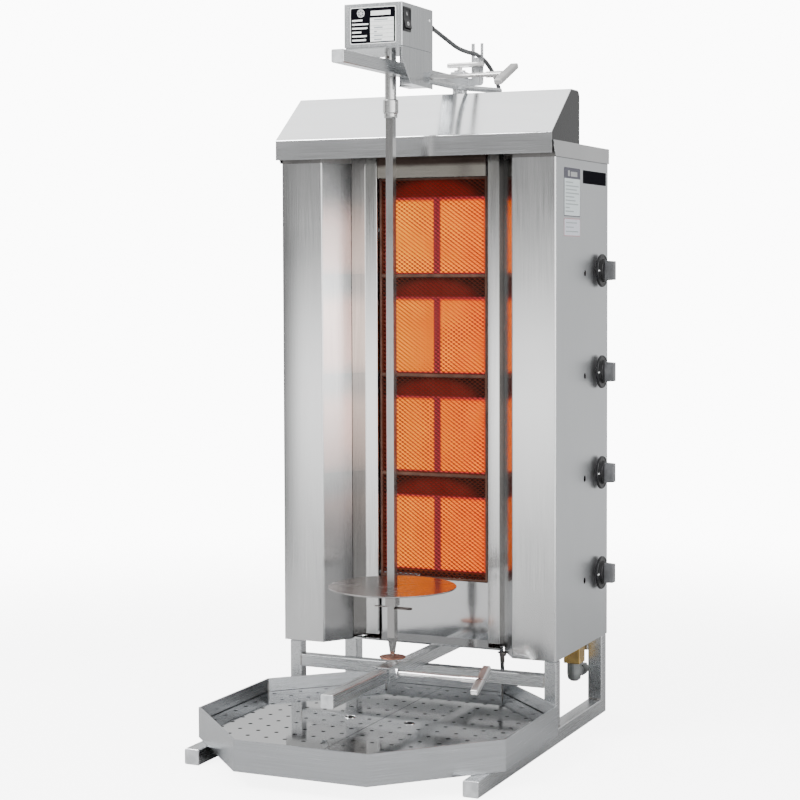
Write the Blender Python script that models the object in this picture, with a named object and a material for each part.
"""Vertical rotisserie broiler: a welded stand, a stainless burner cabinet with four gas
infrared burners, a motor on a sliding carriage, a spit, a drip tray and a power cord.

Metres, +Z up, +X to the right and -Y to the front. The dimensions below are drawn with Y = 0 on the
cabinet's front faces and the spit on X = 0, Y = SPIT_Y; the finished pieces are then moved by
-ORIGIN, so that the origin lies on the floor under the middle of the whole object.
Run with: blender --background --python part.py
"""
from math import cos, pi, radians, sin

import bmesh
import bpy
from mathutils import Matrix, Vector

# ---- driving dimensions ---------------------------------------------------------------------
GAP = 0.0003                 # clearance left between neighbouring pieces
SHEET = 0.0015               # casing sheet thickness

# cabinet
HALF_W = 0.237               # half the cabinet's width
DEPTH = 0.2555               # front face (Y = 0) to back panel
BODY_Z0 = 0.131              # underside of the casing
BODY_Z1 = 0.912              # underside of the top cover's side lips
COVER_Z = 0.937              # top of the cover
WING_X = 0.165               # inner edge of each front face
FLARE = Vector((0.134, 0.0465))      # where the flared wall ends, X and Y
CHANNEL_X0, CHANNEL_X1 = 0.097, 0.118
CHANNEL_Y = 0.067

# hood
HOOD_Y0, HOOD_Y1 = -0.020, 0.111
HOOD_Z0, HOOD_LIP_Z, HOOD_Z1 = 0.917, 0.949, 1.021
HOOD_TOP_Y = 0.070

# burners
BURNERS = 4
BURNER_PITCH = 0.162
TILE_Z0 = 0.2465             # bottom of the lowest ceramic tile
TILE_W, TILE_H, TILE_T = 0.184, 0.1245, 0.013
TILE_Y = 0.090               # face of the tiles
HOUSING_Y0, HOUSING_Y1 = 0.079, 0.124
GUARD_Y0, GUARD_Y1 = 0.0722, 0.0750

# gas controls, on the right side
KNOB_Z0, KNOB_PITCH, KNOB_Y = 0.2408, 0.1654, 0.2055
KNOB_TRAVEL = 0.004
KNOB_X1 = 0.266              # outer face of the knobs' grips
PIPE_X = 0.198

# stand
SKID = 0.024
SKID_Y0, SKID_Y1 = -0.322, 0.251
POST = 0.020
POST_Y0 = 0.013
POST_X1 = 0.233
CROSS_Z = 0.085
TUBE = 0.020
TUBE_WALL = 0.0015
RAIL_Z0 = 0.1053
RAIL_Y0 = -0.3195

# arm and mast
ARM = 0.019
ARM_X0 = 0.012
ARM_Y0, ARM_Y1 = -0.3185, 0.1465
ARM_Z0 = 1.034
MAST_Z0 = 0.133

# spit and drive
SPIT_Y = -0.0896
SPIT = 0.012
SPIT_TIP_Z = 0.1295
SPIT_SHOULDER_Z = 0.168
SPIT_TOP_Z = 1.020
DRIVE_R, DRIVE_Z0, DRIVE_Z1 = 0.009, 0.972, 1.081
DISC_R, DISC_Z, DISC_T = 0.100, 0.2465, 0.002
CLIP_Z = 0.2155

# motor carriage
BOX_X, BOX_Y0, BOX_Y1 = 0.048, -0.153, -0.0365
BOX_Z0, BOX_Z1 = 1.0743, 1.140
ROCKER_Z = 1.1148
ROCKER_TILT = radians(8)     # off position; the other position is as far the other way
CLAMP_Y, CLAMP_Z = -0.0544, 1.0355
GLAND_X, GLAND_Z = 0.034, 1.1185

# lower carriage
SADDLE_Y0, SADDLE_Y1, SADDLE_Z1 = -0.129, -0.072, 0.1280
LOWER_CLAMP_Y, LOWER_CLAMP_Z = -0.1085, 0.1175

# drip tray
TRAY_Z0, TRAY_Z1 = 0.0243, 0.070
TRAY_FRONT, TRAY_REAR = -0.409, 0.115
TRAY_HALF_W, TRAY_NOSE = 0.252, 0.105
TRAY_SIDE_Y0, TRAY_SIDE_Y1 = -0.255, -0.031
INSERT_Z = 0.0485

# power cord
CORD_D = 0.007
COIL_CENTRE = Vector((-0.095, 0.335))
COIL_R = 0.044               # outside; the coil is two turns wide and two high

# middle of the object's plan, cord left out: tray to knobs, and tray to the rear of the cover
ORIGIN = Vector(((KNOB_X1 - TRAY_HALF_W) / 2, (TRAY_FRONT + DEPTH + GAP + SHEET) / 2, 0.0))

# ---- materials ------------------------------------------------------------------------------
# name: (base colour, metallic, roughness)
MATERIALS = {
    "brushed_steel": ((0.62, 0.62, 0.61), 1.0, 0.32),
    "polished_steel": ((0.74, 0.74, 0.74), 1.0, 0.12),
    "tube_steel": ((0.58, 0.59, 0.60), 1.0, 0.30),
    "dark_steel": ((0.10, 0.09, 0.09), 1.0, 0.45),
    "ceramic": ((0.95, 0.33, 0.10), 0.0, 0.80),
    "black_plastic": ((0.02, 0.02, 0.022), 0.0, 0.38),
    "brass": ((0.72, 0.52, 0.22), 1.0, 0.30),
    "cast_grey": ((0.30, 0.30, 0.30), 1.0, 0.45),
    "bronze": ((0.38, 0.17, 0.12), 1.0, 0.40),
    "motor_grey": ((0.18, 0.19, 0.20), 0.3, 0.50),
    "plate_print": ((0.75, 0.76, 0.78), 0.2, 0.40),
    "cord_rubber": ((0.05, 0.052, 0.055), 0.0, 0.60),
}


def clear_scene():
    """Remove everything a new file starts with."""
    for obj in list(bpy.data.objects):
        bpy.data.objects.remove(obj, do_unlink=True)


def material(key, node):
    """A Principled material of its own for one node."""
    colour, metallic, roughness = MATERIALS[key]
    mat = bpy.data.materials.new(f"{node}_{key}")
    mat.use_nodes = True
    shader = mat.node_tree.nodes["Principled BSDF"]
    shader.inputs["Base Color"].default_value = (*colour, 1.0)
    shader.inputs["Metallic"].default_value = metallic
    shader.inputs["Roughness"].default_value = roughness
    mat.diffuse_color = (*colour, 1.0)
    return mat


# ---- solids ---------------------------------------------------------------------------------
def mesh_object(name, bm):
    """Link a bmesh to the scene as an object, with normals facing out."""
    bmesh.ops.recalc_face_normals(bm, faces=bm.faces)
    mesh = bpy.data.meshes.new(name)
    bm.to_mesh(mesh)
    bm.free()
    obj = bpy.data.objects.new(name, mesh)
    bpy.context.scene.collection.objects.link(obj)
    return obj


def prism(outline, start, end, axis="z"):
    """Extrude a closed outline along an axis. Outline points are (x, y), (x, z) or (y, z)."""
    place = {
        "z": lambda p, t: (p[0], p[1], t),
        "y": lambda p, t: (p[0], t, p[1]),
        "x": lambda p, t: (t, p[0], p[1]),
    }[axis]
    bm = bmesh.new()
    low = [bm.verts.new(place(p, start)) for p in outline]
    high = [bm.verts.new(place(p, end)) for p in outline]
    bm.faces.new(low)
    bm.faces.new(list(reversed(high)))
    for i in range(len(outline)):
        j = (i + 1) % len(outline)
        bm.faces.new((low[i], high[i], high[j], low[j]))
    return mesh_object("solid", bm)


def box(x0, x1, y0, y1, z0, z1):
    """An axis-aligned block."""
    return prism([(x0, y0), (x1, y0), (x1, y1), (x0, y1)], z0, z1)


def circle(radius, sides, centre=(0.0, 0.0), start=0.0):
    """Points round a circle, anticlockwise."""
    steps = [start + 2 * pi * i / sides for i in range(sides)]
    return [(centre[0] + radius * cos(a), centre[1] + radius * sin(a)) for a in steps]


def cylinder(radius, start, end, centre, axis="z", sides=24):
    """A round bar along an axis. The centre is given in the other two coordinates."""
    return prism(circle(radius, sides, centre), start, end, axis)


def turned(profile, centre, sides=32):
    """Turn a closed profile of (radius, z) points about a vertical axis."""
    bm = bmesh.new()
    rings = []
    for radius, z in profile:
        if radius < 1e-6:
            rings.append([bm.verts.new((centre[0], centre[1], z))])
            continue
        rings.append([bm.verts.new((x, y, z)) for x, y in circle(radius, sides, centre)])
    for lower, upper in zip(rings, rings[1:] + rings[:1]):
        if len(lower) == 1 and len(upper) == 1:
            continue
        for i in range(sides):
            j = (i + 1) % sides
            corners = [lower[i % len(lower)], lower[j % len(lower)]]
            corners += [upper[j % len(upper)], upper[i % len(upper)]]
            bm.faces.new(list(dict.fromkeys(corners)))
    return mesh_object("turned", bm)


def sheet_path(points, thickness, z0, z1):
    """A bent sheet standing upright: its plan is an open line, thickened to its right."""
    points = [Vector(p) for p in points]
    normals = []
    for a, b in zip(points, points[1:]):
        along = (b - a).normalized()
        normals.append(Vector((along.y, -along.x)))
    inner = []
    for i, point in enumerate(points):
        before = normals[max(i - 1, 0)]
        after = normals[min(i, len(normals) - 1)]
        mitre = (before + after).normalized()
        inner.append(point + mitre * (thickness / mitre.dot(after)))
    return prism([*points, *reversed(inner)], z0, z1)


def boolean(obj, other, operation):
    """Join to, or cut from, a solid, and drop the other solid."""
    other.hide_render = True
    other.display_type = "WIRE"
    modifier = obj.modifiers.new(operation.lower(), "BOOLEAN")
    modifier.operation = operation
    modifier.solver = "EXACT"
    modifier.object = other
    bpy.context.view_layer.update()
    graph = bpy.context.evaluated_depsgraph_get()
    mesh = bpy.data.meshes.new_from_object(obj.evaluated_get(graph))
    obj.modifiers.clear()
    old = obj.data
    obj.data = mesh
    bpy.data.meshes.remove(old)
    bpy.data.objects.remove(other, do_unlink=True)
    return obj


def join(obj, *others):
    """Union of overlapping solids."""
    for other in others:
        boolean(obj, other, "UNION")
    return obj


def cut(obj, *others):
    """Take the other solids away."""
    for other in others:
        boolean(obj, other, "DIFFERENCE")
    return obj


def mirrored(obj):
    """The left-hand twin of a right-hand solid."""
    bm = bmesh.new()
    bm.from_mesh(obj.data)
    bmesh.ops.transform(bm, matrix=Matrix.Scale(-1, 4, (1, 0, 0)), verts=bm.verts)
    return mesh_object("mirrored", bm)


def bevelled(obj, width, sharp=radians(40), segments=1):
    """Round the hard edges of a solid."""
    bm = bmesh.new()
    bm.from_mesh(obj.data)
    edges = [e for e in bm.edges if len(e.link_faces) == 2 and e.calc_face_angle() > sharp]
    bmesh.ops.bevel(bm, geom=edges, offset=width, segments=segments, affect="EDGES",
                    profile=0.5, clamp_overlap=True)
    mesh = bpy.data.meshes.new("bevelled")
    bm.to_mesh(mesh)
    bm.free()
    obj.data = mesh
    return obj


def bar_along(points, radius, name="bar", bevel_resolution=2):
    """A round bar or cord through a list of points, closed at both ends."""
    curve = bpy.data.curves.new(name, "CURVE")
    curve.dimensions = "3D"
    curve.bevel_depth = radius
    curve.bevel_resolution = bevel_resolution
    curve.use_fill_caps = True
    spline = curve.splines.new("POLY")
    spline.points.add(len(points) - 1)
    for slot, point in zip(spline.points, points):
        slot.co = (*point, 1.0)
    obj = bpy.data.objects.new(name, curve)
    bpy.context.scene.collection.objects.link(obj)
    return obj


def as_mesh(obj):
    """Turn a curve object into a mesh object, with its seam welded."""
    bpy.context.view_layer.update()
    graph = bpy.context.evaluated_depsgraph_get()
    mesh = bpy.data.meshes.new_from_object(obj.evaluated_get(graph))
    bm = bmesh.new()
    bm.from_mesh(mesh)
    bmesh.ops.remove_doubles(bm, verts=bm.verts, dist=1e-6)
    bpy.data.objects.remove(obj, do_unlink=True)
    return mesh_object("bar", bm)


def smooth_line(points, spacing):
    """Catmull-Rom line through the points, sampled about every spacing."""
    points = [Vector(p) for p in points]
    ends = [2 * points[0] - points[1], *points, 2 * points[-1] - points[-2]]
    line = []
    for a, b, c, d in zip(ends, ends[1:], ends[2:], ends[3:]):
        steps = max(1, round((c - b).length / spacing))
        for i in range(steps):
            t = i / steps
            line.append(0.5 * (2 * b + (c - a) * t + (2 * a - 5 * b + 4 * c - d) * t * t
                               + (3 * b - a - 3 * c + d) * t ** 3))
    return [*line, points[-1]]


def node(obj, name, key, origin=(0.0, 0.0, 0.0)):
    """Name a finished piece, give it its material and put its origin on its joint's axis."""
    obj.name = name
    obj.data.name = name
    obj.data.materials.clear()
    obj.data.materials.append(material(key, name))
    origin = Vector(origin)
    obj.data.transform(Matrix.Translation(-origin))
    obj.location = origin
    if obj.type == "MESH":
        obj.data.shade_smooth()
        obj.data.set_sharp_from_angle(angle=radians(35))
    return obj


# ---- stand ----------------------------------------------------------------------------------
def side_frame():
    """Right skid with its front and rear posts welded on, hollow and open at the back."""
    x0, x1 = HALF_W - SKID, HALF_W
    rear = SKID_Y1 - SKID
    soft = 0.0012
    frame = bevelled(box(x0, x1, SKID_Y0, SKID_Y1, 0, SKID), soft)
    front_post = box(POST_X1 - POST, POST_X1, POST_Y0, POST_Y0 + POST,
                     SKID / 2, BODY_Z0 - 0.003)
    rear_post = box(x0, x1, rear, SKID_Y1, SKID / 2, BODY_Z0 - GAP)
    join(frame, bevelled(front_post, soft), bevelled(rear_post, soft))
    wall = TUBE_WALL
    cut(frame,
        box(x0 + wall, x1 - wall, SKID_Y0 + wall, SKID_Y1 + wall, wall, SKID - wall),
        box(POST_X1 - POST + wall, POST_X1 - wall, POST_Y0 + wall, POST_Y0 + POST - wall,
            SKID / 2, BODY_Z0 + wall),
        box(x0 + wall, x1 - wall, rear + wall, SKID_Y1 - wall, SKID / 2, BODY_Z0 + wall))
    return frame


def square_tube(size, wall, x, y, z, axis, closed_start=False):
    """A hollow square tube. x, y and z are (low, high); the tube is open at its ends."""
    spans = {"x": list(x), "y": list(y), "z": list(z)}
    outer = bevelled(box(*x, *y, *z), 0.0012)
    inner = {}
    for key, (low, high) in spans.items():
        inner[key] = (low - wall, high + wall) if key == axis else (low + wall, high - wall)
    if closed_start:
        inner[axis] = (spans[axis][0] + wall, inner[axis][1])
    return cut(outer, box(*inner["x"], *inner["y"], *inner["z"]))


def build_stand():
    """Side frames, cross tubes and the rail under the spit."""
    right = side_frame()
    left = mirrored(right)
    node(right, "side_frame_right", "tube_steel")
    node(left, "side_frame_left", "tube_steel")
    half = POST_X1 - POST - GAP
    cross_y = (POST_Y0, POST_Y0 + TUBE)
    cross = square_tube(TUBE, TUBE_WALL, (-half, half), cross_y, (CROSS_Z, CROSS_Z + TUBE), "x")
    node(cross, "front_cross_tube", "tube_steel")
    rear_y = SKID_Y1 - SKID
    half = HALF_W - SKID - GAP
    rear = square_tube(TUBE, TUBE_WALL, (-half, half), (rear_y, rear_y + TUBE),
                       (RAIL_Z0, RAIL_Z0 + TUBE), "x")
    node(rear, "rear_cross_tube", "tube_steel")
    rail = square_tube(TUBE, TUBE_WALL, (-TUBE / 2, TUBE / 2), (RAIL_Y0, rear_y - GAP),
                       (RAIL_Z0, RAIL_Z0 + TUBE), "y", closed_start=True)
    node(rail, "lower_rail", "tube_steel")


def t_screw(length, bar, radius, bar_size, direction):
    """A clamp screw on +X from the origin, with a square cross bar on its end."""
    rod = cylinder(radius, 0, length, (0, 0), "x", 16)
    tip = cylinder(radius + 0.0012, length - 0.030, length, (0, 0), "x", 16)
    half = bar_size / 2
    handle = box(length - half, length + half + 0.004, -bar / 2, bar / 2, -half, half)
    bevelled(handle, 0.0022, segments=2)
    handle.data.transform(Matrix.Rotation(direction, 4, "X"))
    return join(rod, tip, handle)


def build_mast():
    """Mast through the cabinet, the arm on its head, the lock screw and the cable fork."""
    x = (ARM_X0, ARM_X0 + ARM)
    mast_y = (ARM_Y1 - ARM, ARM_Y1)
    mast = square_tube(ARM, TUBE_WALL, x, mast_y, (MAST_Z0, ARM_Z0 - GAP), "z")
    cut(mast, cylinder(0.003, x[1] - 0.004, x[1] + 0.004, (mast_y[0] + 0.011, 1.022), "x", 12))
    node(mast, "mast", "tube_steel")

    arm_top = ARM_Z0 + ARM
    lock = Vector((ARM_X0 + ARM / 2, ARM_Y1 - ARM / 2, arm_top + 0.0095))
    arm = square_tube(ARM, TUBE_WALL, x, (ARM_Y0, ARM_Y1), (ARM_Z0, arm_top), "y",
                      closed_start=True)
    block = box(x[0] - 0.002, x[1] + 0.003, lock.y - 0.013, lock.y + 0.0088,
                arm_top - 0.001, arm_top + 0.009)
    join(arm, bevelled(block, 0.001))
    cut(arm, cylinder(0.0043, arm_top - 0.006, arm_top + 0.012, (lock.x, lock.y)))
    node(arm, "upper_arm", "tube_steel")

    rod = cylinder(0.004, arm_top - 0.004, arm_top + 0.020, (lock.x, lock.y), "z", 16)
    washer = cylinder(0.0095, arm_top + 0.0095, arm_top + 0.012, (lock.x, lock.y), "z", 20)
    bar = bevelled(box(-0.0005, 0.064, lock.y - 0.004, lock.y + 0.004,
                       arm_top + 0.0165, arm_top + 0.0245), 0.0022, segments=2)
    node(join(rod, washer, bar), "mast_lock_screw", "tube_steel", lock)

    y = ARM_Y1 + GAP
    foot, left, right, top = 1.040, 0.038, 0.0585, 1.109
    corner = [(right - 0.006 + 0.006 * sin(a), foot + 0.006 - 0.006 * cos(a))
              for a in (0, pi / 6, pi / 3, pi / 2)]
    outline = [(ARM_X0 + 0.002, foot), *corner, (right, top), (right - 0.0045, top),
               (right - 0.0045, 1.086), (left + 0.0055, 1.086), (left + 0.0055, top),
               (left, top), (left, 1.0525), (ARM_X0 + 0.002, 1.0525)]
    node(prism(outline, y, y + 0.002, "y"), "cable_fork", "tube_steel")


# ---- cabinet --------------------------------------------------------------------------------
def knob_z(index):
    """Height of a burner's control."""
    return KNOB_Z0 + KNOB_PITCH * index


def build_side_panels():
    """Outer side, front face and flared wall of each wing, and the channel behind it."""
    wing = [(FLARE.x, FLARE.y), (WING_X, 0.0), (HALF_W, 0.0), (HALF_W, DEPTH - 0.0018)]
    channel = [(CHANNEL_X0, CHANNEL_Y + 0.004), (CHANNEL_X0, CHANNEL_Y),
               (CHANNEL_X1, CHANNEL_Y), (FLARE.x - 0.0007, FLARE.y + 0.0010)]
    right = sheet_path(list(reversed(wing)), SHEET, BODY_Z0, BODY_Z1)
    node(mirrored(right), "side_panel_left", "brushed_steel")
    for index in range(BURNERS):
        z = knob_z(index)
        cut(right,
            cylinder(0.0055, HALF_W - 0.006, HALF_W + 0.006, (KNOB_Y, z), "x", 16),
            cylinder(0.0050, HALF_W - 0.006, HALF_W + 0.006, (0.139, z - 0.004), "x", 12))
    node(right, "side_panel_right", "brushed_steel")
    strip = sheet_path(list(reversed(channel)), SHEET, 0.1375, 0.934)
    node(mirrored(strip), "channel_left", "brushed_steel")
    node(strip, "channel_right", "brushed_steel")


def build_casing():
    """Back, bottom and top sheets, the hood and the two aprons over and under the burners."""
    back = box(-HALF_W, HALF_W, DEPTH - SHEET, DEPTH, BODY_Z0, COVER_Z - SHEET - GAP)
    for row in (0.20, 0.23, 0.80, 0.83):
        for x in (-0.15, 0.15):
            cut(back, box(x - 0.045, x + 0.045, DEPTH - 0.01, DEPTH + 0.01, row, row + 0.009))
    node(back, "back_panel", "brushed_steel")

    inner = HALF_W - SHEET - GAP
    rim = SHEET + GAP
    flare = [(WING_X + 0.003, rim), (FLARE.x + 0.0022, FLARE.y),
             (FLARE.x + 0.0008, FLARE.y + 0.004),
             (FLARE.x - 0.002, 0.078)]
    half_floor = [(inner, DEPTH - SHEET - GAP), (inner, rim), *flare]
    floor = [*half_floor, *((-x, y) for x, y in reversed(half_floor))]
    bottom = prism(floor, BODY_Z0, BODY_Z0 + SHEET)
    cut(bottom, cylinder(0.0085, BODY_Z0 - 0.01, BODY_Z0 + 0.01, (PIPE_X, KNOB_Y), "z", 20))
    node(bottom, "bottom_panel", "brushed_steel")

    outer = HALF_W + GAP + SHEET
    rear = DEPTH + GAP + SHEET
    cover = box(-outer, outer, -0.001, rear, BODY_Z1 + 0.0005, COVER_Z)
    cut(cover, box(-HALF_W - GAP, HALF_W + GAP, -0.05, DEPTH + GAP, BODY_Z1 - 0.01, COVER_Z - SHEET))
    nose = [(-0.03, COVER_Z + 0.01), (-0.017, COVER_Z), (-0.001, BODY_Z1)]
    for side in (-1, 1):
        x = sorted((side * (HALF_W + GAP), side * outer))
        wedge = [(nose[1][0], COVER_Z), (0.01, COVER_Z), (0.01, BODY_Z1 + 0.0005),
                 (nose[2][0], BODY_Z1 + 0.0005)]
        join(cover, prism(wedge, x[0], x[1], "x"))
    cut(cover,
        box(-0.215, 0.215, -0.05, 0.110, COVER_Z - 0.01, COVER_Z + 0.01),
        box(ARM_X0 - 0.001, ARM_X0 + ARM + 0.001, ARM_Y1 - ARM - 0.001, ARM_Y1 + 0.001,
            COVER_Z - 0.01, COVER_Z + 0.01))
    node(cover, "top_cover", "brushed_steel")

    low = COVER_Z + GAP
    round_r = 0.011
    shoulder = [(HOOD_Y1 - round_r + round_r * sin(a), HOOD_Z1 - round_r + round_r * cos(a))
                for a in (0, pi / 6, pi / 3, pi / 2)]
    outline = [(HOOD_Y0, HOOD_Z0), (HOOD_Y0, HOOD_LIP_Z), (HOOD_TOP_Y, HOOD_Z1), *shoulder,
               (HOOD_Y1, low), (-0.011, low), (HOOD_Y0 + SHEET, HOOD_Z0)]
    hood = prism(outline, -HALF_W, HALF_W, "x")
    t = SHEET
    inside = [(HOOD_Y0 + t, HOOD_Z0 - 0.01), (HOOD_Y0 + t, HOOD_LIP_Z - t / 2),
              (HOOD_TOP_Y + t / 2, HOOD_Z1 - t), (HOOD_Y1 - round_r, HOOD_Z1 - t),
              (HOOD_Y1 - t - 0.003, HOOD_Z1 - t - 0.004), (HOOD_Y1 - t, HOOD_Z1 - round_r),
              (HOOD_Y1 - t, HOOD_Z0 - 0.01)]
    cut(hood, prism(inside, -HALF_W + t, HALF_W - t, "x"))
    for x in (-0.15, 0.0, 0.15):
        cut(hood, box(x - 0.060, x + 0.060, HOOD_Y1 - 0.006, HOOD_Y1 + 0.006, 0.955, 1.000))
    node(hood, "hood", "brushed_steel")

    upper = box(-CHANNEL_X0 + 0.002, CHANNEL_X0 - 0.002, 0.0655, 0.067, 0.8885, 0.934)
    node(upper, "upper_apron", "brushed_steel")
    half = CHANNEL_X0 - 0.002
    lower = box(-half, half, 0.0756, 0.0756 + SHEET, BODY_Z0 + 0.0005, 0.2335)
    lip_z = BODY_Z0 + 0.0005
    lip = [(-FLARE.x + 0.003, FLARE.y), (FLARE.x - 0.003, FLARE.y), (0.118, 0.0665),
           (0.118, 0.077), (-0.118, 0.077), (-0.118, 0.0665)]
    join(lower, prism(lip, lip_z, lip_z + 0.0025))
    node(lower, "lower_apron", "polished_steel")


# ---- burners --------------------------------------------------------------------------------
def tile_z(index):
    """Bottom of a burner's tile."""
    return TILE_Z0 + BURNER_PITCH * index


def build_burners():
    """Four ceramic plaques in sheet housings with mixing tubes, behind one wire guard."""
    half = TILE_W / 2
    for index in range(BURNERS):
        z = tile_z(index)
        low, high = z - 0.006, z - 0.006 + BURNER_PITCH - GAP
        shell = box(-half - 0.004, half + 0.004, HOUSING_Y0, HOUSING_Y1, low, high)
        cut(shell, box(-half - GAP, half + GAP, HOUSING_Y0 - 0.01, HOUSING_Y1 - SHEET,
                       z - GAP, z + TILE_H + GAP))
        tube_z = low + 0.020
        join(shell, cylinder(0.011, half + 0.002, 0.165, (0.108, tube_z), "x", 16))
        cut(shell, cylinder(0.0095, half - 0.002, 0.170, (0.108, tube_z), "x", 16))
        node(shell, f"burner_housing_{index + 1}", "dark_steel")
        tile = box(-half, half, TILE_Y, TILE_Y + TILE_T, z, z + TILE_H)
        cut(tile, box(-0.0012, 0.0012, TILE_Y - 0.01, TILE_Y + 0.003, z - 0.01, z + TILE_H + 0.01))
        node(tile, f"ceramic_tile_{index + 1}", "ceramic")

    low, high = 0.2345, 0.8880
    half = CHANNEL_X0 - 0.0025
    guard = box(-half, half, GUARD_Y0, GUARD_Y1, low, high)
    recess_y = GUARD_Y0 + 0.0010
    for index in range(BURNERS):
        z = tile_z(index)
        start = low + 0.0035 if index == 0 else z - 0.0005
        stop = min(z + BURNER_PITCH - 0.0055, high - 0.0035)
        cut(guard, box(-half + 0.0035, half - 0.0035, recess_y, GUARD_Y1 + 0.01, start, stop))
    node(guard, "burner_guard", "dark_steel")


# ---- gas train ------------------------------------------------------------------------------
def build_gas():
    """Valve rail with four taps, spindles, knobs, and the inlet under the floor."""
    rail = cylinder(0.007, 0.118, knob_z(3) + 0.010, (PIPE_X, KNOB_Y), "z", 16)
    for index in range(BURNERS):
        z = knob_z(index)
        tube_z = tile_z(index) + 0.014
        join(rail,
             box(PIPE_X - 0.012, PIPE_X + 0.022, KNOB_Y - 0.012, KNOB_Y + 0.012,
                 z - 0.013, z + 0.013),
             cylinder(0.004, PIPE_X, PIPE_X + 0.001, (KNOB_Y, z), "x", 8),
             cylinder(0.004, 0.104, KNOB_Y, (PIPE_X - 0.004, z), "y", 10),
             box(PIPE_X - 0.011, PIPE_X + 0.003, 0.101, 0.115, z - 0.007, tube_z + 0.007),
             cylinder(0.004, 0.158, PIPE_X - 0.004, (0.108, tube_z), "x", 10))
        cut(rail, cylinder(0.0044, PIPE_X + 0.005, PIPE_X + 0.03, (KNOB_Y, z), "x", 16))
    node(rail, "valve_rail", "cast_grey")

    skirt_x = HALF_W + KNOB_TRAVEL + 0.0008
    for index in range(BURNERS):
        z = knob_z(index)
        axis = (HALF_W, KNOB_Y, z)
        spindle = cylinder(0.0040, PIPE_X + 0.0055, skirt_x + 0.0125, (KNOB_Y, z), "x", 16)
        flat = box(skirt_x - 0.002, skirt_x + 0.014, KNOB_Y - 0.01, KNOB_Y + 0.01,
                   z + 0.0028, z + 0.01)
        node(cut(spindle, flat), f"valve_spindle_{index + 1}", "brass", axis)

        knob = cylinder(0.027, skirt_x, skirt_x + 0.0045, (KNOB_Y, z), "x", 32)
        bevelled(knob, 0.0012)
        hub = cylinder(0.0185, skirt_x + 0.003, skirt_x + 0.0085, (KNOB_Y, z), "x", 24)
        grip = box(skirt_x + 0.007, KNOB_X1, KNOB_Y - 0.0065, KNOB_Y + 0.0065,
                   z - 0.0165, z + 0.0165)
        bevelled(grip, 0.0020, segments=2)
        join(knob, hub, grip)
        cut(knob, cylinder(0.0044, skirt_x - 0.01, skirt_x + 0.0175, (KNOB_Y, z), "x", 16))
        node(knob, f"knob_{index + 1}", "black_plastic", axis)

    block = bevelled(box(PIPE_X - 0.014, PIPE_X + 0.014, KNOB_Y - 0.018, KNOB_Y + 0.010,
                         0.089, BODY_Z0 - 0.0005), 0.001)
    join(block, cylinder(0.005, KNOB_Y, KNOB_Y + 0.018, (PIPE_X, 0.112), "y", 12))
    cut(block, cylinder(0.0073, 0.1175, BODY_Z0 + 0.01, (PIPE_X, KNOB_Y), "z", 16))
    node(block, "gas_inlet_block", "brass")

    y = KNOB_Y - 0.004
    elbow = turned([(0, 0.0885), (0.012, 0.0885), (0.012, 0.070), (0.0105, 0.062),
                    (0.006, 0.0585), (0, 0.0580)], (PIPE_X, y), 20)
    join(elbow,
         cylinder(0.0085, y, 0.246, (PIPE_X, 0.0705), "y", 16),
         cylinder(0.0105, 0.230, 0.250, (PIPE_X, 0.0705), "y", 6))
    cut(elbow, cylinder(0.0055, 0.222, 0.260, (PIPE_X, 0.0705), "y", 12))
    node(elbow, "gas_elbow", "cast_grey")


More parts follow.
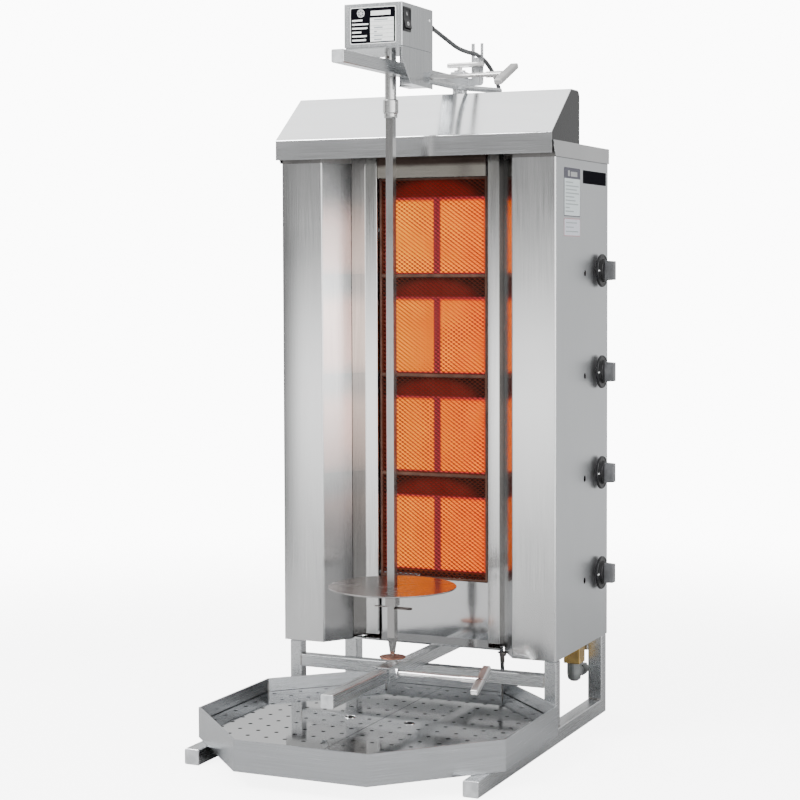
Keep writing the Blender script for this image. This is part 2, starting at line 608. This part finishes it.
# ---- motor carriage -------------------------------------------------------------------------
def build_carriage():
    """Bracket round the arm, motor box, gear motor, rating plate, switch and clamp screw."""
    floor_z = BOX_Z0 - GAP
    plate = 0.002
    bracket = box(-BOX_X + 0.002, BOX_X, BOX_Y0 + 0.001, BOX_Y1 - 0.001, floor_z - plate, floor_z)
    cheek = [(BOX_Y0 + 0.001, floor_z), (BOX_Y1 - 0.001, floor_z), (BOX_Y1 - 0.001, 1.0185),
             (-0.118, 1.0205), (BOX_Y0 + 0.001, 1.0580)]
    join(bracket,
         prism(cheek, BOX_X - plate, BOX_X, "x"),
         box(0.031, BOX_X - 0.001, -0.1175, BOX_Y1 - 0.001, 1.0205, 1.0225),
         box(0.0085, 0.033, -0.0770, BOX_Y1 - 0.001, 1.0205, 1.0225),
         box(0.0095, 0.0112, -0.0770, BOX_Y1 - 0.001, 1.0205, floor_z - 0.001),
         cylinder(0.0085, BOX_X - 0.001, BOX_X + 0.006, (CLAMP_Y, CLAMP_Z), "x", 6))
    handle = smooth_line([(0.0475, -0.052, 1.0300), (0.0480, -0.020, 1.0302),
                          (0.0490, 0.036, 1.0300), (0.0600, 0.077, 1.0295),
                          (0.0800, 0.111, 1.0292), (0.0920, 0.138, 1.0290)], 0.014)
    join(bracket, as_mesh(bar_along(handle, 0.0045)))
    cut(bracket,
        cylinder(0.0043, BOX_X - 0.01, BOX_X + 0.02, (CLAMP_Y, CLAMP_Z), "x", 16),
        cylinder(0.0100, floor_z - 0.01, floor_z + 0.01, (0, SPIT_Y), "z", 24))
    node(bracket, "carriage_bracket", "tube_steel")

    housing = box(-BOX_X, BOX_X, BOX_Y0, BOX_Y1, BOX_Z0, BOX_Z1)
    bevelled(housing, 0.0008)
    t = SHEET
    cut(housing,
        box(-BOX_X + t, BOX_X - t, BOX_Y0 + t, BOX_Y1 - t, BOX_Z0 - t, BOX_Z1 - t),
        box(BOX_X - 0.006, BOX_X + 0.006, -0.1480, -0.1240,
            ROCKER_Z - 0.0151, ROCKER_Z + 0.0151),
        cylinder(0.0025, BOX_X - 0.006, BOX_X + 0.006, (-0.050, 1.1225), "x", 12),
        cylinder(CORD_D / 2 + 0.0008, BOX_Y1 - 0.006, BOX_Y1 + 0.006, (GLAND_X, GLAND_Z), "y", 16))
    node(housing, "motor_housing", "brushed_steel")

    motor = box(-0.030, 0.030, SPIT_Y - 0.030, SPIT_Y + 0.034, BOX_Z0, BOX_Z0 + 0.028)
    join(motor, cylinder(0.021, BOX_Z0 + 0.020, BOX_Z1 - 0.006, (0, SPIT_Y + 0.008), "z", 24))
    cut(motor, cylinder(DRIVE_R + 0.0006, BOX_Z0 - 0.01, DRIVE_Z1 + GAP, (0, SPIT_Y), "z", 24))
    node(motor, "gear_motor", "motor_grey")

    y = BOX_Y0 - GAP
    label = bevelled(box(-0.0375, 0.0385, y - 0.0007, y, 1.0790, 1.1340), 0.0002)
    node(label, "rating_plate", "plate_print")

    pivot = (BOX_X - 0.004, -0.136, ROCKER_Z)
    upper = [(BOX_X + 0.0022, ROCKER_Z + 0.0141), (BOX_X + 0.0005, ROCKER_Z + 0.0141),
             (BOX_X - 0.010, ROCKER_Z + 0.0134)]
    lower = [(px, 2 * ROCKER_Z - pz) for px, pz in reversed(upper)]
    rocker = node(prism([*lower, (BOX_X + 0.0008, ROCKER_Z), *upper], -0.1474, -0.1246, "y"),
                  "rocker_switch", "black_plastic", pivot)
    rocker.data.transform(Matrix.Rotation(-ROCKER_TILT, 4, "Y"))

    start = ARM_X0 + ARM + 0.0004
    screw = t_screw(0.1744 - start, 0.079, 0.0036, 0.009, radians(23.4))
    screw.data.transform(Matrix.Translation((start, CLAMP_Y, CLAMP_Z)))
    node(screw, "upper_clamp_screw", "tube_steel", (start, CLAMP_Y, CLAMP_Z))


# ---- spit -----------------------------------------------------------------------------------
def build_spit():
    """Drive shaft and its pin, square spit, meat disc, retaining clip and drip disc."""
    z0, z1 = DRIVE_Z0, DRIVE_Z1
    profile = [(0, z0), (0.0100, z0), (0.0105, z0 + 0.002), (0.0105, z0 + 0.0065),
               (0.0120, z0 + 0.0080), (0.0120, z0 + 0.0265), (0.0112, z0 + 0.0280),
               (DRIVE_R, z0 + 0.0280), (DRIVE_R, z1), (0, z1)]
    shaft = turned(profile, (0, SPIT_Y))
    half = SPIT / 2 + 0.0004
    cut(shaft,
        box(-half, half, SPIT_Y - half, SPIT_Y + half, z0 - 0.01, SPIT_TOP_Z + 0.001),
        cylinder(0.0021, SPIT_Y - 0.02, SPIT_Y + 0.02, (0, 1.0645), "y", 12))
    axis = (0, SPIT_Y, 0)
    node(shaft, "drive_shaft", "tube_steel", axis)
    pin = cylinder(0.0018, SPIT_Y - 0.0092, SPIT_Y + 0.0092, (0, 1.0645), "y", 12)
    node(pin, "coupling_pin", "dark_steel", axis)

    half = SPIT / 2
    corners = [(-half, -half), (half, -half), (half, half), (-half, half)]
    bm = bmesh.new()
    rings = []
    for z, scale in ((SPIT_TOP_Z, 1.0), (SPIT_SHOULDER_Z, 1.0), (0.1420, 0.48)):
        rings.append([bm.verts.new((x * scale, y * scale + SPIT_Y, z)) for x, y in corners])
    bm.faces.new(rings[0])
    bm.faces.new(rings[-1])
    for upper, lower in zip(rings, rings[1:]):
        for i in range(4):
            j = (i + 1) % 4
            bm.faces.new((upper[i], upper[j], lower[j], lower[i]))
    spit = mesh_object("spit", bm)
    join(spit, cylinder(0.0028, SPIT_TIP_Z, 0.146, (0, SPIT_Y), "z", 16))
    cut(spit, cylinder(0.0017, -0.02, 0.02, (SPIT_Y, CLIP_Z), "x", 12))
    node(spit, "spit_rod", "polished_steel", axis)

    hole = half + 0.0004
    top = DISC_Z + DISC_T
    disc = turned([(0, DISC_Z), (DISC_R - 0.0006, DISC_Z), (DISC_R, DISC_Z + 0.0006),
                   (DISC_R, top - 0.0006), (DISC_R - 0.0006, top), (0, top)], (0, SPIT_Y), 64)
    hub = 0.0085
    join(disc, box(-hub, hub, SPIT_Y - hub, SPIT_Y + hub, CLIP_Z + 0.0022, DISC_Z + 0.001))
    cut(disc, box(-hole, hole, SPIT_Y - hole, SPIT_Y + hole, CLIP_Z - 0.01, top + 0.01))
    node(disc, "meat_disc", "polished_steel", axis)

    y = SPIT_Y
    leg = [Vector((x, y, CLIP_Z)) for x in (-0.030, -0.012, 0.004, 0.020)]
    loop_r = 0.0058
    loop = [Vector((0.029 + loop_r * sin(a), y - loop_r + loop_r * cos(a), CLIP_Z))
            for a in (radians(d) for d in range(0, 181, 30))]
    back = [Vector((0.0215, y - 2 * loop_r, CLIP_Z)), Vector((0.0125, y - 2 * loop_r, CLIP_Z)),
            Vector((0.0085, y - 2 * loop_r - 0.0020, CLIP_Z))]
    clip = as_mesh(bar_along([*leg, *loop, *back], 0.00125, bevel_resolution=1))
    node(clip, "retaining_clip", "dark_steel", (0, SPIT_Y, CLIP_Z))

    drip = turned([(0.0034, 0.1372), (0.0205, 0.1366), (0.0210, 0.1374), (0.0205, 0.1382),
                   (0.0034, 0.1388)], (0, SPIT_Y), 40)
    node(drip, "drip_disc", "bronze", axis)


def build_lower_carriage():
    """Saddle on the rail, with the spit's bearing cup and the lower clamp screw."""
    side = TUBE / 2 + 0.0008
    wall = 0.002
    top = SADDLE_Z1
    saddle = box(-side - wall, side + wall, SADDLE_Y0, SADDLE_Y1, 0.1040, top)
    cut(saddle, box(-side, side, SADDLE_Y0 - 0.01, SADDLE_Y1 + 0.01, 0.10, RAIL_Z0 + TUBE + 0.0006))
    join(saddle, cylinder(0.0075, side + 0.001, side + wall + 0.006,
                          (LOWER_CLAMP_Y, LOWER_CLAMP_Z), "x", 6))
    cut(saddle, cylinder(0.0043, side - 0.004, side + 0.02,
                         (LOWER_CLAMP_Y, LOWER_CLAMP_Z), "x", 16))
    node(saddle, "lower_saddle", "tube_steel")

    low = top + GAP
    cup = turned([(0, low), (0.0080, low), (0.0080, low + 0.0015), (0.0060, low + 0.0022),
                  (0.0060, low + 0.0035), (0.0070, low + 0.0045), (0.0070, 0.1358),
                  (0.0034, 0.1358), (0.0034, SPIT_TIP_Z - GAP), (0, SPIT_TIP_Z - GAP)],
                 (0, SPIT_Y), 24)
    node(cup, "bearing_cup", "polished_steel")

    start = TUBE / 2 + 0.0004
    screw = t_screw(0.1533 - start, 0.062, 0.0036, 0.009, radians(27.5))
    screw.data.transform(Matrix.Translation((start, LOWER_CLAMP_Y, LOWER_CLAMP_Z)))
    node(screw, "lower_clamp_screw", "tube_steel", (start, LOWER_CLAMP_Y, LOWER_CLAMP_Z))


# ---- tray -----------------------------------------------------------------------------------
def octagon(inset):
    """Plan of the tray, drawn in from its outside by an inset."""
    half, nose = TRAY_HALF_W - inset, TRAY_NOSE - 0.41 * inset
    front, rear = TRAY_FRONT + inset, TRAY_REAR - inset
    low, high = TRAY_SIDE_Y0 + 0.41 * inset, TRAY_SIDE_Y1 - 0.41 * inset
    return [(-nose, front), (nose, front), (half, low), (half, high),
            (nose, rear), (-nose, rear), (-half, high), (-half, low)]


def build_tray():
    """Eight-sided drip tray and the two raised inserts that drain into it."""
    tray = prism(octagon(0), TRAY_Z0, TRAY_Z1)
    cut(tray, prism(octagon(SHEET), TRAY_Z0 + SHEET, TRAY_Z1 + 0.01))
    node(tray, "drip_tray", "brushed_steel")

    seam = 0.0006
    outline = [p for p in octagon(0.004) if p[0] > 0]
    outline = [(seam, outline[0][1]), *outline, (seam, outline[-1][1])]
    foot = TRAY_Z0 + SHEET + GAP
    plate = prism(outline, INSERT_Z - SHEET, INSERT_Z)
    join(plate,
         box(seam, seam + SHEET, TRAY_FRONT + 0.030, TRAY_REAR - 0.030, foot, INSERT_Z - 0.0005),
         box(TRAY_HALF_W - 0.0055 - SHEET, TRAY_HALF_W - 0.0055, TRAY_SIDE_Y0 + 0.010,
             TRAY_SIDE_Y1 - 0.010, foot, INSERT_Z - 0.0005))
    middle = (TRAY_FRONT + TRAY_REAR) / 2
    cut(plate, cylinder(0.009, INSERT_Z - 0.01, INSERT_Z + 0.01, (0.050, middle + 0.008), "z", 24))
    left = mirrored(plate)
    join(left, box(-0.010, -0.002, -0.3150, -0.3138, INSERT_Z - 0.001, INSERT_Z + 0.009))
    node(plate, "tray_insert_right", "polished_steel")
    node(left, "tray_insert_left", "polished_steel")


# ---- power cord -----------------------------------------------------------------------------
CORD_ROUTE = [
    (GLAND_X, BOX_Y1 + 0.0005, GLAND_Z), (0.0375, -0.012, 1.1150), (0.0430, 0.024, 1.1040),
    (0.0465, 0.067, 1.0935), (0.0482, 0.108, 1.0905), (0.0485, 0.148, 1.0900),
    (0.0480, 0.195, 1.0790), (0.0470, 0.235, 1.0570), (0.0455, 0.2605, 1.0270),
    (0.0440, 0.2680, 0.9800), (0.0430, 0.2680, 0.9200), (0.0420, 0.2670, 0.7600),
    (0.0410, 0.2665, 0.5600), (0.0405, 0.2665, 0.3600), (0.0405, 0.2672, 0.2300),
    (0.0406, 0.2695, 0.1300), (0.0409, 0.2745, 0.0750), (0.0410, 0.2790, 0.0385),
    (0.0384, 0.2797, 0.0255), (0.0310, 0.2803, 0.0145), (0.0200, 0.2808, 0.0071),
    (0.0070, 0.2812, 0.0045), (-0.0190, 0.2820, 0.0045), (-0.0450, 0.2828, 0.0045),
    (-0.0700, 0.2835, 0.0045), (-0.0930, 0.2842, 0.0045), (-0.1070, 0.2866, 0.0045),
    (-0.1191, 0.2933, 0.0045), (-0.1291, 0.3009, 0.0045), (-0.1367, 0.3109, 0.0045),
    (-0.1416, 0.3225, 0.0045), (-0.1430, 0.3308, 0.0045),
]
TAIL_ANGLE = radians(45)     # where the cord leaves its coil for the plug, round the coil


def build_cord():
    """Cord from the motor box through the fork, down the back to its coil, and the plug."""
    tube = bar_along(smooth_line(CORD_ROUTE, 0.0175), CORD_D / 2, "power_cord")
    node(tube, "power_cord", "cord_rubber")
    low, high = 0.0005, 0.0010 + 2 * CORD_D
    coil = turned([(COIL_R - 2 * CORD_D, low), (COIL_R, low), (COIL_R, high),
                   (COIL_R - 2 * CORD_D, high)], COIL_CENTRE, 48)
    node(coil, "cord_coil", "cord_rubber")

    # drawn along +X from where the cord leaves its turn of the coil, then turned into place
    body = bevelled(box(0.048, 0.088, -0.018, 0.018, -0.0115, 0.0120), 0.005, segments=2)
    join(body,
         cylinder(CORD_D / 2, 0.0242, 0.030, (0, 0), "x", 12),
         cylinder(0.0048, 0.028, 0.040, (0, 0), "x", 12),
         cylinder(0.0060, 0.038, 0.050, (0, 0), "x", 12),
         cylinder(0.0024, 0.086, 0.107, (-0.0095, 0.0002), "x", 12),
         cylinder(0.0024, 0.086, 0.107, (0.0095, 0.0002), "x", 12))
    turn_r = COIL_R - CORD_D / 2
    start = COIL_CENTRE + turn_r * Vector((cos(TAIL_ANGLE), sin(TAIL_ANGLE)))
    body.data.transform(Matrix.Translation((*start, 0.0120))
                        @ Matrix.Rotation(TAIL_ANGLE - pi / 2, 4, "Z"))
    node(body, "power_plug", "black_plastic")


def centre_on_origin():
    """Put the origin on the floor under the middle of the object."""
    for obj in bpy.data.objects:
        obj.location -= ORIGIN


def main():
    """Build every piece."""
    clear_scene()
    build_stand()
    build_mast()
    build_side_panels()
    build_casing()
    build_burners()
    build_gas()
    build_carriage()
    build_spit()
    build_lower_carriage()
    build_tray()
    build_cord()
    centre_on_origin()


main()
